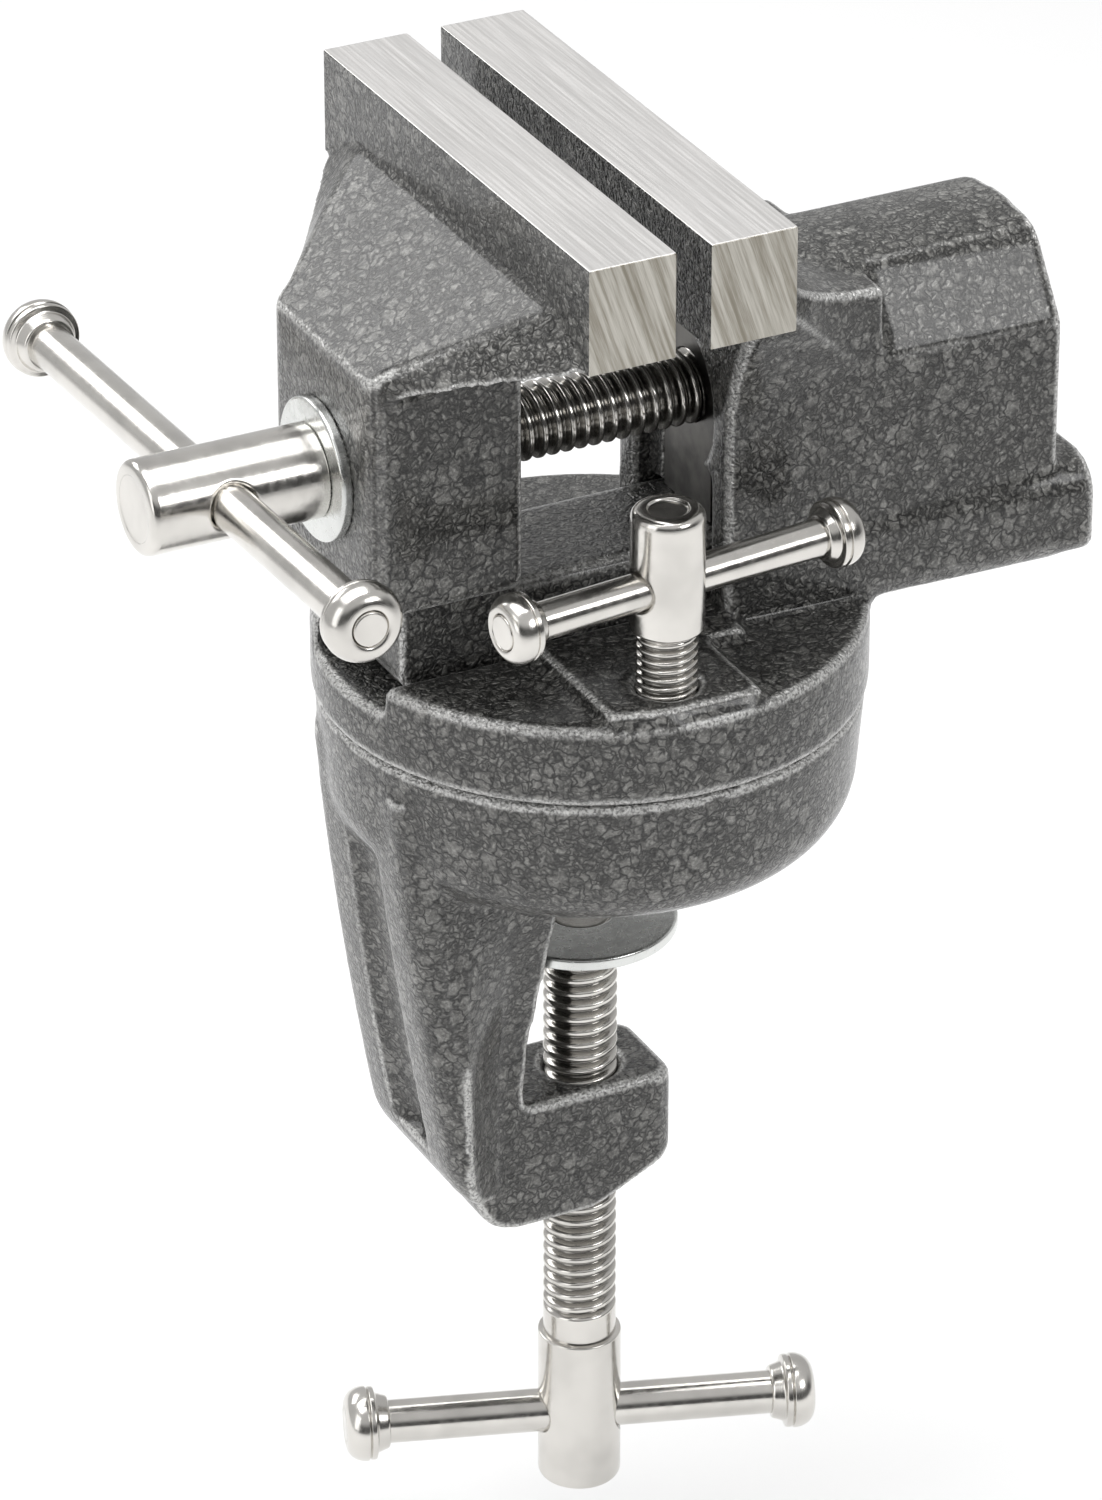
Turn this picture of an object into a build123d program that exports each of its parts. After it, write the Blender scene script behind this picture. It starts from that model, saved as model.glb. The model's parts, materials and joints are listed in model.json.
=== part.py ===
"""Small clamp-on bench vise with a swivel base, in millimetres.

The origin is where the swivel axis meets the underside of the base, the face that stands on the table.
X runs along the main screw, from its handle (-X) to the tail of the fixed jaw (+X). Y runs across the
jaws. Z is up.
"""
from build123d import *
import os
from math import cos, radians, sin

# Driving dimensions ----------------------------------------------------------------------------------

# fits
run_fit = 0.05          # radial clearance of a shaft that turns or slides in its hole
slide_fit = 0.2         # clearance on each side of the slide bar
face_gap = 0.05         # gap between two flat faces that turn on each other
loose_fit = 0.4         # radial clearance of a part that only lies in its pocket

# jaws
jaw_length = 75.0
jaw_thickness = 12.0
jaw_end_height = 14.2
jaw_top = 98.8
jaw_gap = 4.8
fixed_jaw_face = -2.7   # X of the gripping face of the fixed jaw

# main screw
screw_height = 59.8     # Z of its axis
screw_diameter = 10.0
screw_tip = 58.8
tip_chamfer = 1.0
hub_diameter = 12.5
hub_length = 24.4
hub_edge = 1.2
washer_outer = 19.0
washer_thickness = 1.5
ring_outer = 14.0
ring_thickness = 1.2
ring_groove_depth = 0.8
ring_opening = 3.0
ring_pocket_depth = 3.0
ring_pocket_diameter = 16.0

# handle bars and their knobs
bar_diameter = 6.0
knob_diameter = 10.4
knob_thickness = 6.0
rivet_diameter = 4.6
knob_outer_round = 0.48     # share of the knob's thickness
knob_inner_round = 0.25
main_bar_length = 97.0      # between the middles of the knobs
main_bar_tilt = -2.3        # turn about X from +Y, at rest
main_bar_slid = 6.0         # how far the bar has slid towards +Y
main_bar_setback = 11.1     # from the hub's front face to the bar
clamp_bar_length = 59.1
clamp_bar_turn = -18.9
lock_bar_diameter = 5.0
lock_knob_diameter = 9.2
lock_knob_thickness = 5.2
lock_bar_length = 47.8
lock_bar_turn = 6.0
lock_bar_slid = 1.7

# moving jaw
column_front = -38.2
column_back = -17.0
column_half_width = 15.0
column_bottom = 44.2
column_edge = 2.6
column_lower_edge = 1.2
hood_step = 9.5         # from the jaw's top down to the hood's top where they meet
hood_fall = 12.0        # how much lower the hood's slope is at the column's front
hood_lip = 3.9          # height of the hood's edge where it starts, at the column's rounded edge
hood_depth_low = 4.4   # from the hood's top to where it runs out on the column, at its start
hood_depth_high = 12.6  # the same, under the jaw
bar_half_width = 9.7
bar_height = 13.8
bar_tail = 59.3
foot_front = -32.0
foot_slope = 3.0
hood_edge = 1.5
hood_hollow_out = 0.48      # where the hollow under the hood bends: share of the way out to the edge
hood_hollow_fall = 0.07     # and share of the fall from the edge to the column
hood_top_inset = 10.0   # how much narrower than the jaw each side of the hood's top is, at the jaw
hood_start_growth = 0.2     # how far the hood's start stands out of the column's side
foot_overlap = 3.0          # how far the bar's foot reaches up into the column
bar_edge = 1.5

# fixed jaw casting
body_front = 11.8
body_tail = 60.5
body_half_width = 15.5
body_tail_growth = 0.9      # how much wider each side is at the tail
shoulder_height = 65.9      # Z where the side wall ends and the facet starts
facet_top = 75.8
facet_inset = 6.8
crown_half_width = 8.6
crown_shoulder = 76.6
crown_height = 77.6
crown_step = 1.0        # how far out the hollow step below the crown runs
facet_start = 27.5          # X where the facet's upper edge starts
facet_run = 7.8             # how much further along its lower edge starts
flare_run = 25.0            # how far the jaw's flare reaches along the body
flare_root = 62.0           # Z where the flare runs out on the wall
flare_top_drop = 3.6        # from the jaw's top to the flare's top
flare_plan_hollow = 4.0     # where the flare's hollow bends, off the corner of jaw and wall, from above
flare_front_hollow = 4.0    # the same off the wall, from the front
flare_front_drop = 2.0      # and below the jaw
flare_side_hollow = 6.0     # the same off the jaw's back, from the side
flare_side_lift = 2.0       # and above the body's top
rail_tail = 65.2
rail_top = 45.3
rail_sink = 0.5         # how far the rail reaches down into the disc
rail_front_growth = 0.1     # how far the rail stands out of the wall at the front
rail_tail_growth = 2.8      # how far the rail stands out of the wall at its end
rail_edge = 5.0
rail_lower_edge = 2.5
rail_cut_depth = 3.0        # how far into the disc's rim the open underside of the rail reaches
mouth_radius = 10.5
mouth_depth = 2.4
neck_half_width = 6.6
mouth_slot_half_width = 10.45
mouth_slot_top = 51.9
tail_bore_radius = 6.6

# swivel disc
disc_bottom = 21.0
disc_top = 32.3
disc_radius = 36.5
disc_rim_edge = 1.0
disc_lower_edge = 0.4
channel_half_width = 10.2
channel_depth = 3.9         # of the slide bar's channel, from the disc's top
lock_pad_left = -14.0
lock_pad_right = 7.0
lock_pad_front = -34.8
lock_pad_height = 1.5
lock_pad_reach = 4.0        # how far the pad runs on past the body's wall

# main nut
nut_length = 12.0
nut_tongue_half_width = 6.4
grub_diameter = 6.0
grub_socket = 3.0
grub_socket_depth = 3.0
grub_bite = 2.0             # how far it reaches into the nut
grub_recess = 0.5

# lock screw
lock_x = -3.4
lock_y = -28.0
lock_diameter = 8.0
lock_head_diameter = 9.6
lock_head_top = 58.8
lock_head_bottom = 42.0
lock_bar_height = 48.1
lock_head_edge = 1.5
lock_dish_radius = 2.7
lock_dish_depth = 0.4

# clamp casting
base_radius_top = 36.1
base_radius_bottom = 34.4
base_edge = 10.0
arm_half_width = 15.0
arm_edge = 4.5
arm_top_drop = 5.0
arm_top_x = -34.7       # X of the flange's outer face at its top, half way down and at the heel
arm_middle_x = -31.0
arm_middle = -16.4
arm_heel_x = -26.8
arm_heel = -41.9
arm_heel_round = 8.6
arm_bottom = -50.2
flange_inner = -17.5
taper_start = -25.0         # X from which the arm's sides draw in towards the web
flute_half_spacing = 8.0
flute_radius = 7.0
flute_depth = 1.0
flute_run_out = 9.0         # how far the grooves run straight on past the heel
web_half_width = 8.0
web_inner_top = -10.6
web_inner_low = -13.0
web_flare_height = 29.4     # below the seat, where the web's sides are parallel
web_top_narrowing = 0.4     # how much narrower each side of the web is at the seat
web_lean = 0.5              # how far the web leans back from there to the lug
lug_root = 3.0              # how far the lug reaches back into the arm
lug_top = -37.9
lug_bottom = -56.5
lug_end = 9.3
lug_end_round = 3.0
lug_heel_round = 6.0
lug_nose_rise = 5.6         # how much higher the lug's underside is at its end
lug_nose_run = 12.0         # over which length it rises
pad_relief_clearance = 0.5

# swivel bolt and its spring washer
bolt_diameter = 10.0
bolt_head_diameter = 17.0
bolt_head_height = 2.3
bolt_head_edge = 0.4
bolt_engagement = 13.0      # how far it screws into the base
bolt_socket = 6.0
bolt_socket_depth = 1.6
bolt_cover = 0.2            # from the floor of the channel down to the bolt's head
disc_spring_thickness = 0.5
disc_spring_outer = 15.0

# clamp screw and its pad
clamp_x = -1.3
clamp_diameter = 10.0
clamp_thread_top = -19.0
clamp_hub_top = -80.5
clamp_hub_bottom = -103.9
clamp_hub_diameter = 11.4
clamp_hub_edge = 0.9
clamp_bar_height = -93.7
clamp_neck_radius = 3.2
clamp_rivet_radius = 4.1
clamp_rivet_height = 0.7
clamp_rivet_edge = 0.4
pad_radius = 13.0
pad_top = -14.7
pad_thickness = 1.7
pad_boss_radius = 4.7
pad_boss_height = 2.4
pad_sink_radius = 4.4
pad_sink_depth = 1.0
pad_edge = 0.5

# drawing
edge_spread = 20.0      # angle to X within which an edge counts as running along the vise
over = 1.0              # how far a cut, or a piece that merges, runs past the face it meets

# Derived places --------------------------------------------------------------------------------------

jaw_bottom = jaw_top - jaw_end_height
jaw_half = jaw_length / 2
fixed_jaw_back = fixed_jaw_face + jaw_thickness
moving_jaw_face = fixed_jaw_face - jaw_gap
moving_jaw_back = moving_jaw_face - jaw_thickness
screw_radius = screw_diameter / 2
washer_front = column_front - washer_thickness
hub_back = washer_front - face_gap
hub_front = hub_back - hub_length
main_bar_x = hub_front + main_bar_setback
ring_front = column_back - ring_pocket_depth + face_gap
channel_floor = disc_top - channel_depth
rail_bottom = disc_top - rail_sink
bolt_seat = channel_floor - bolt_cover - bolt_head_height - disc_spring_thickness - face_gap
bar_bottom = channel_floor + slide_fit
bar_top = bar_bottom + bar_height
channel_roof = bar_top + slide_fit
nut_front = body_front + mouth_depth
nut_radius = mouth_radius - run_fit
grub_x = nut_front + nut_length / 2
hood_high = jaw_top - hood_step
hood_low = hood_high - hood_fall
clamp_radius = clamp_diameter / 2
lock_radius = lock_diameter / 2
pad_bottom = pad_top - pad_thickness


# Shapes used more than once ---------------------------------------------------------------------------


def rod(start, axis, radius, length):
    """A cylinder that starts at a point and runs along an axis."""
    base = (Align.CENTER, Align.CENTER, Align.MIN)
    return Plane(start, z_dir=axis) * Cylinder(radius, length, align=base)


def block(x, y, z):
    """A box between two values on each axis."""
    size = (x[1] - x[0], y[1] - y[0], z[1] - z[0])
    return Pos(x[0], y[0], z[0]) * Box(*size, align=(Align.MIN, Align.MIN, Align.MIN))


def tube(start, axis, outer, inner, length):
    """A ring: a cylinder with a coaxial hole."""
    return rod(start, axis, outer, length) - rod(start, axis, inner, length)


def outline_x(lines, x):
    """A face at one X, from edges drawn in (Y, Z)."""
    return Plane((x, 0, 0), x_dir=(0, 1, 0), z_dir=(1, 0, 0)) * make_face(lines)


def outline_y(lines, y):
    """A face at one Y, from edges drawn in (X, Z)."""
    return Plane((0, y, 0), x_dir=(1, 0, 0), z_dir=(0, -1, 0)) * make_face(lines)


def across(lines, half_width):
    """A solid of one side view, as wide on both sides of the middle plane."""
    return extrude(outline_y(lines, 0), half_width, both=True)


def rims_near(solid, point, count=1):
    """The circular edges of a round solid that lie nearest to a point."""
    return solid.edges().filter_by(GeomType.CIRCLE).sort_by_distance(point)[:count]


def runs_along(edge):
    """Whether an edge runs along the vise, within a few degrees of X."""
    return abs((edge % 0.5).X) > cos(radians(edge_spread))


def handle(middle, direction, slid, length, radius, knob_radius, knob_thickness):
    """A handle bar and its two knobs, as (bar, knob at the start, knob at the end).

    The bar's turned-down ends run through the knobs and are riveted flush with their faces.
    """
    way = Vector(*direction).normalized()
    centre = Vector(*middle) + way * slid
    reach = knob_thickness / 2
    start = centre - way * (length / 2)
    end = centre + way * (length / 2)
    bar = rod(start + way * reach, way, radius, length - knob_thickness)
    bar += rod(start - way * reach, way, rivet_diameter / 2, length + knob_thickness)
    knobs = []
    for place, outward in ((start, way * -1), (end, way)):
        knob = rod(place - outward * reach, outward, knob_radius, knob_thickness)
        knob = fillet(rims_near(knob, place + outward * reach), knob_thickness * knob_outer_round)
        knob = fillet(rims_near(knob, place - outward * reach), knob_thickness * knob_inner_round)
        knobs.append(knob - rod(place - outward * knob_thickness, outward, rivet_diameter / 2,
                                2 * knob_thickness))
    return bar, knobs[0], knobs[1]


# Clamp casting ---------------------------------------------------------------------------------------


def arm_outline(shift=0):
    """The outside of the arm in side view: a long arc, then a tighter one round the heel."""
    top = (arm_top_x + shift, disc_bottom - arm_top_drop)
    outer = ThreePointArc(top, (arm_middle_x + shift, arm_middle), (arm_heel_x + shift, arm_heel))
    return outer, TangentArc(outer @ 1, (arm_heel_x + arm_heel_round + shift, arm_bottom), tangent=outer % 1)


def web_section(z, inner_x, half_width):
    """A level cut of the arm's web, with the arm's sides drawn in to it."""
    side = [(taper_start, arm_half_width), (flange_inner, half_width), (inner_x, half_width)]
    return Pos(0, 0, z) * make_face(Polyline(*side, *[(x, -y) for x, y in reversed(side)], close=True))


def make_clamp_frame():
    """The round base, the arm down one side of it and the lug that holds the clamp screw.

    The arm has a wide flange on the outside, with two shallow upright grooves, and a web behind it. The
    web is as wide as the flange under the base, narrows to the lug, and is hollowed for the pad.
    """
    base_top = disc_bottom - face_gap
    half = make_face(Polyline((0, 0), (base_radius_bottom, 0), (base_radius_top, base_top),
                              (0, base_top), close=True))
    base = revolve(Plane.XZ * half, Axis.Z)
    base = fillet(rims_near(base, (base_radius_bottom, 0, 0)), base_edge)

    outer, heel = arm_outline()
    inner = Polyline(heel @ 1, (flange_inner, (heel @ 1).Y), (flange_inner, (outer @ 0).Y), outer @ 0)
    flange = extrude(Plane.XZ * make_face([outer, heel, inner]), arm_half_width, both=True)
    corners = flange.edges().filter_by(GeomType.CIRCLE)
    flange = fillet([e for e in corners if abs(e.center().Y) > arm_half_width / 2], arm_edge)
    groove_arc, _ = arm_outline(flute_depth - flute_radius)
    groove_line = Wire([groove_arc, Line(groove_arc @ 1, groove_arc @ 1 + flute_run_out * (groove_arc % 1))])
    groove = sweep(Plane(groove_line @ 0, z_dir=groove_line % 0) * Circle(flute_radius), groove_line)
    for side in (-1, 1):
        flange -= Pos(0, side * flute_half_spacing, 0) * Plane.XZ * groove
    lean = (arm_half_width - web_half_width) / (flange_inner - taper_start)
    side = [(arm_top_x - over, arm_half_width + lean * over),
            (taper_start - over, arm_half_width + lean * over), (flange_inner, web_half_width)]
    plan = make_face(Polyline(*side, *[(x, -y) for x, y in reversed(side)], close=True))
    flange &= extrude(Pos(0, 0, arm_bottom - over) * plan, disc_bottom - arm_bottom)

    web = loft([web_section(base_edge, web_inner_top, arm_half_width),
                web_section(0, web_inner_top, arm_half_width - web_top_narrowing),
                web_section(-web_flare_height, web_inner_low, web_half_width),
                web_section(lug_top, web_inner_low - web_lean, web_half_width)], ruled=True)
    lug = across([Polyline((flange_inner - lug_root, lug_top), (flange_inner - lug_root, lug_bottom),
                           (lug_end - lug_nose_run, lug_bottom), (lug_end, lug_bottom + lug_nose_rise),
                           (lug_end, lug_top), close=True)], web_half_width)
    lug = fillet(lug.edges().filter_by(Axis.Z).group_by(Axis.X)[-1], lug_end_round)
    lug = fillet(lug.edges().filter_by(Axis.Y).group_by(Axis.Z)[0].group_by(Axis.X)[0], lug_heel_round)

    relief = rod((clamp_x, 0, lug_top), (0, 0, 1), pad_radius + pad_relief_clearance, -lug_top)
    bolt_hole = rod((0, 0, disc_bottom - bolt_engagement), (0, 0, 1), bolt_diameter / 2, disc_bottom)
    screw_hole = rod((clamp_x, 0, lug_bottom - over), (0, 0, 1), clamp_radius + run_fit,
                     lug_top - lug_bottom + 2 * over)
    return base + flange + (web - relief) + lug - bolt_hole - screw_hole


# Fixed jaw casting -----------------------------------------------------------------------------------


def wall_at(x):
    """Half the width of the body at one X: the side walls spread a little towards the tail."""
    return body_half_width + body_tail_growth * (x - body_front) / (body_tail - body_front)


def body_section(x):
    """An upright cut of the body, without its crown."""
    return outline_x([Polyline((-wall_at(x), disc_top - over), (wall_at(x), disc_top - over),
                               (wall_at(x), facet_top), (-wall_at(x), facet_top), close=True)], x)


def facet_section(x, side):
    """An upright cut of what is taken off one shoulder of the body to leave the sloping facet."""
    low = (side * wall_at(x), shoulder_height)
    high = (side * (wall_at(x) - facet_inset), facet_top)
    slope = (high[1] - low[1]) / facet_inset
    below = (low[0] + side * over, low[1] - over * slope)
    above = (high[0] - side * over, high[1] + over * slope)
    return outline_x([Polyline(below, above, (below[0], above[1]), close=True)], x)


def rail_section(x):
    """An upright cut of the rail along the foot of the body."""
    share = (x - body_front) / (rail_tail - body_front)
    out = body_half_width + rail_front_growth + (rail_tail_growth - rail_front_growth) * share
    return Plane((x, 0, 0), x_dir=(0, 1, 0), z_dir=(1, 0, 0)) * (
        Pos(0, (rail_bottom + rail_top) / 2) * Rectangle(2 * out, rail_top - rail_bottom))


def make_flare():
    """The solid that carries the long jaw on the narrow body, hollowed on every side."""
    root = fixed_jaw_back + flare_run
    buried = fixed_jaw_back - over
    plan_bend = (fixed_jaw_back + flare_plan_hollow, body_half_width + flare_plan_hollow)
    half_plan = [Line((buried, 0), (buried, jaw_half)),
                 Line((buried, jaw_half), (fixed_jaw_back, jaw_half)),
                 Bezier((fixed_jaw_back, jaw_half), plan_bend, (root, body_half_width)),
                 Line((root, body_half_width), (root, 0)),
                 Line((root, 0), (buried, 0))]
    half_plan = extrude(make_face(half_plan), jaw_top)
    plan = half_plan + mirror(half_plan, Plane.XZ)
    crest = jaw_top - flare_top_drop
    front_bend = (body_half_width + flare_front_hollow, jaw_bottom - flare_front_drop)
    half_front = [Line((0, flare_root), (body_half_width, flare_root)),
                  Bezier((body_half_width, flare_root), front_bend, (jaw_half, jaw_bottom)),
                  Line((jaw_half, jaw_bottom), (jaw_half, crest)),
                  Line((jaw_half, crest), (0, crest)),
                  Line((0, crest), (0, flare_root))]
    half_front = extrude(outline_x(half_front, buried), root - buried)
    front = half_front + mirror(half_front, Plane.XZ)
    side_bend = (fixed_jaw_back + flare_side_hollow, facet_top + flare_side_lift)
    side = across([Line((buried, flare_root), (root, flare_root)),
                   Line((root, flare_root), (root, facet_top)),
                   Bezier((root, facet_top), side_bend, (fixed_jaw_back, crest)),
                   Line((fixed_jaw_back, crest), (buried, crest)),
                   Line((buried, crest), (buried, flare_root))], jaw_half)
    under_jaw = block((buried - over, body_front), (-jaw_half, jaw_half), (flare_root - over, jaw_bottom))
    return plan & front & side - under_jaw


def make_fixed_jaw_body():
    """The swivel disc, the body with its rail and tail, and the fixed jaw, cast in one."""
    disc = rod((0, 0, disc_bottom), (0, 0, 1), disc_radius, disc_top - disc_bottom)
    disc = fillet(rims_near(disc, (disc_radius, 0, disc_top)), disc_rim_edge)
    disc = chamfer(rims_near(disc, (disc_radius, 0, disc_bottom)), disc_lower_edge)
    lock_pad = block((lock_pad_left, lock_pad_right), (lock_pad_front, -body_half_width + over),
                     (disc_top - over, disc_top + lock_pad_height))
    lock_pad += block((lock_pad_left, body_front + over),
                      (-body_half_width - lock_pad_reach, -channel_half_width),
                      (disc_top - over, disc_top + lock_pad_height))
    lock_pad &= rod((0, 0, 0), (0, 0, 1), disc_radius - disc_rim_edge, jaw_top)

    body = loft([body_section(body_front), body_section(body_tail)], ruled=True)
    crown_root = (crown_half_width + crown_step, facet_top - over)
    crown = outline_x([Polyline((crown_half_width, crown_shoulder), crown_root,
                                (-crown_root[0], crown_root[1]), (-crown_half_width, crown_shoulder)),
                       ThreePointArc((-crown_half_width, crown_shoulder), (0, crown_height),
                                     (crown_half_width, crown_shoulder))], body_front)
    body += extrude(crown, body_tail - body_front)
    tall = facet_top - shoulder_height
    past = across([Polyline((facet_start - facet_run, facet_top + tall),
                            (facet_start + 2 * facet_run, shoulder_height - tall),
                            (body_tail + over, shoulder_height - tall), (body_tail + over, facet_top + tall),
                            close=True)], jaw_half)
    for side in (-1, 1):
        shoulder = loft([facet_section(body_front, side), facet_section(body_tail + over, side)], ruled=True)
        body -= shoulder & past

    rail = loft([rail_section(body_front), rail_section(rail_tail)], ruled=True)
    rail = fillet(rail.edges().filter_by(runs_along).group_by(Axis.Z)[-1], rail_edge)
    rail = fillet(rail.edges().filter_by(runs_along).group_by(Axis.Z)[0], rail_lower_edge)
    jaw = block((fixed_jaw_face, fixed_jaw_back), (-jaw_half, jaw_half), (jaw_bottom, jaw_top))
    casting = disc + body + rail + lock_pad + make_flare() + jaw

    channel = block((-disc_radius - over, body_front + over), (-channel_half_width, channel_half_width),
                    (channel_floor, disc_top + lock_pad_height + over))
    slide_half = bar_half_width + slide_fit
    channel += block((body_front, rail_tail + over), (-slide_half, slide_half), (channel_floor, channel_roof))
    below = block((disc_radius - rail_cut_depth, rail_tail + over), (-slide_half, slide_half),
                  (0, channel_floor + over))
    mouth = rod((body_front - over, 0, screw_height), (1, 0, 0), mouth_radius,
                mouth_depth + nut_length + over)
    mouth += block((body_front - over, nut_front + nut_length), (-neck_half_width, neck_half_width),
                   (bar_top, screw_height))
    mouth += block((body_front - over, nut_front), (-mouth_slot_half_width, mouth_slot_half_width),
                   (channel_floor + over, mouth_slot_top))
    tail_bore = rod((body_front, 0, screw_height), (1, 0, 0), tail_bore_radius, body_tail)
    grub_hole = rod((grub_x, 0, screw_height), (0, 1, 0), grub_diameter / 2, jaw_half)
    lock_hole = rod((lock_x, lock_y, 0), (0, 0, 1), lock_radius + run_fit, jaw_top / 2)
    bolt_hole = rod((0, 0, 0), (0, 0, 1), bolt_diameter / 2 + run_fit, disc_top)
    bolt_hole += rod((0, 0, bolt_seat), (0, 0, 1), bolt_head_diameter / 2 + loose_fit, disc_top)
    return casting - channel - below - mouth - tail_bore - grub_hole - lock_hole - bolt_hole


# Nut of the main screw -------------------------------------------------------------------------------


def make_main_nut():
    """A round nut with a tongue that keeps it from turning, and a blind hole for the grub screw."""
    nut = rod((nut_front, 0, screw_height), (1, 0, 0), nut_radius, nut_length)
    nut += block((nut_front, nut_front + nut_length), (-nut_tongue_half_width, nut_tongue_half_width),
                 (channel_roof + run_fit, screw_height))
    nut -= rod((nut_front - over, 0, screw_height), (1, 0, 0), screw_radius + run_fit,
               nut_length + 2 * over)
    return nut - rod((grub_x, nut_radius - grub_bite, screw_height), (0, 1, 0), grub_diameter / 2, jaw_half)


def make_grub_screw():
    """The socket screw in the far wall that holds the nut."""
    length = wall_at(grub_x) - grub_recess - (nut_radius - grub_bite)
    screw = rod((grub_x, nut_radius - grub_bite, screw_height), (0, 1, 0), grub_diameter / 2, length)
    end = Plane((grub_x, wall_at(grub_x) - grub_recess, screw_height), z_dir=(0, -1, 0))
    return screw - extrude(end * RegularPolygon(grub_socket / 2, 6, major_radius=False), grub_socket_depth)


# Moving jaw ------------------------------------------------------------------------------------------


def hood_section(x, half_width, top, lip, depth, inset=0):
    """An upright cut of the hood: level top, edges that may slope out, and a hollow sweep to the column."""
    edge_low = top - lip
    root = top - depth
    hollow = (column_half_width + hood_hollow_out * (half_width - column_half_width),
              edge_low - hood_hollow_fall * (edge_low - root))
    return outline_x([Line((inset - half_width, top), (half_width - inset, top)),
                      Line((half_width - inset, top), (half_width, edge_low)),
                      Bezier((half_width, edge_low), hollow, (column_half_width, root)),
                      Line((column_half_width, root), (-column_half_width, root)),
                      Bezier((-column_half_width, root), (-hollow[0], hollow[1]), (-half_width, edge_low)),
                      Line((-half_width, edge_low), (inset - half_width, top))], x)


def make_moving_jaw():
    """The long jaw, the hood behind it, the column for the screw and the bar that slides in the body."""
    column = block((column_front, column_back), (-column_half_width, column_half_width),
                   (column_bottom, jaw_bottom + over))
    column = fillet(column.edges().filter_by(Axis.Z).group_by(Axis.X)[0], column_edge)
    column = fillet(column.faces().sort_by(Axis.Z)[0].edges(), column_lower_edge)
    rise = (hood_high - hood_low) / (moving_jaw_back - column_front)
    above = across([Polyline((column_front - over, hood_low - over * rise), (moving_jaw_back, hood_high),
                             (column_back + over, hood_high), (column_back + over, jaw_top),
                             (column_front - over, jaw_top), close=True)], jaw_half)
    column -= above

    hood_start = column_front + column_edge
    start_top = hood_low + column_edge * rise
    start = hood_section(hood_start, column_half_width + hood_start_growth, start_top, hood_lip,
                         hood_depth_low)
    under_jaw = hood_section(moving_jaw_back, jaw_half, hood_high, hood_high - jaw_bottom, hood_depth_high,
                             hood_top_inset)
    hood = loft([start, under_jaw], ruled=True)
    hood += extrude(under_jaw, column_back - moving_jaw_back)
    upper = (moving_jaw_back + hood_start) / 2, (hood_high + start_top) / 2
    long_edges = [e for e in hood.edges() if abs(e.center().X - upper[0]) < over
                  and abs(e.center().Z - upper[1]) < over and abs(e.center().Y) > column_half_width]
    hood = fillet(long_edges, hood_edge)
    jaw = block((moving_jaw_back, moving_jaw_face), (-jaw_half, jaw_half), (jaw_bottom, jaw_top))

    slide = block((foot_front, bar_tail), (-bar_half_width, bar_half_width), (bar_bottom, bar_top))
    slide = fillet(slide.edges().filter_by(Axis.X).group_by(Axis.Z)[-1], bar_edge)
    slide = chamfer(slide.faces().sort_by(Axis.X)[0].edges().sort_by(Axis.Z)[0], foot_slope)
    foot = block((foot_front, column_back), (-bar_half_width, bar_half_width),
                 (bar_bottom + bar_height / 2, column_bottom + foot_overlap))
    casting = column + hood + jaw + slide + foot
    bore = rod((column_front - over, 0, screw_height), (1, 0, 0), screw_radius + run_fit,
               column_back - column_front + 2 * over)
    ring_pocket = rod((column_back - ring_pocket_depth, 0, screw_height), (1, 0, 0),
                      ring_pocket_diameter / 2, ring_pocket_depth + over)
    return casting - bore - ring_pocket


# Screws ----------------------------------------------------------------------------------------------


def make_main_screw():
    """The main screw: drilled hub, shank with the ring's groove, and thread."""
    hub = rod((hub_front, 0, screw_height), (1, 0, 0), hub_diameter / 2, hub_length)
    hub = fillet(rims_near(hub, (hub_front, 0, screw_height)), hub_edge)
    shank = rod((hub_back, 0, screw_height), (1, 0, 0), screw_radius, screw_tip - hub_back)
    shank = chamfer(rims_near(shank, (screw_tip, 0, screw_height)), tip_chamfer)
    groove = tube((ring_front - face_gap / 2, 0, screw_height), (1, 0, 0), screw_radius + over,
                  screw_radius - ring_groove_depth, ring_thickness + face_gap)
    cross_hole = Plane((main_bar_x, 0, screw_height), z_dir=main_bar_way) * Cylinder(
        bar_diameter / 2 + run_fit, 2 * hub_diameter)
    return hub + shank - groove - cross_hole


def make_retaining_ring():
    """The open ring in the screw's groove, which pulls the jaw back when the screw is turned out."""
    ring = tube((ring_front, 0, screw_height), (1, 0, 0), ring_outer / 2,
                screw_radius - ring_groove_depth, ring_thickness)
    return ring - block((ring_front - over, ring_front + ring_thickness + over),
                        (-ring_opening / 2, ring_opening / 2), (screw_height, screw_height + ring_outer))


def make_lock_screw():
    """The lock screw: drilled round head, and a thread that bears on the base through the disc."""
    head = rod((lock_x, lock_y, lock_head_bottom), (0, 0, 1), lock_head_diameter / 2,
               lock_head_top - lock_head_bottom)
    head = fillet(rims_near(head, (lock_x, lock_y, lock_head_top)), lock_head_edge)
    head -= rod((lock_x, lock_y, lock_head_top - lock_dish_depth), (0, 0, 1), lock_dish_radius,
                lock_dish_depth + over)
    tip = disc_bottom + face_gap
    thread = rod((lock_x, lock_y, tip), (0, 0, 1), lock_radius, lock_head_bottom - tip)
    thread = chamfer(rims_near(thread, (lock_x, lock_y, tip)), tip_chamfer)
    cross_hole = Plane((lock_x, lock_y, lock_bar_height), z_dir=lock_bar_way) * Cylinder(
        lock_bar_diameter / 2 + run_fit, 2 * lock_head_diameter)
    return head + thread - cross_hole


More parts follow.
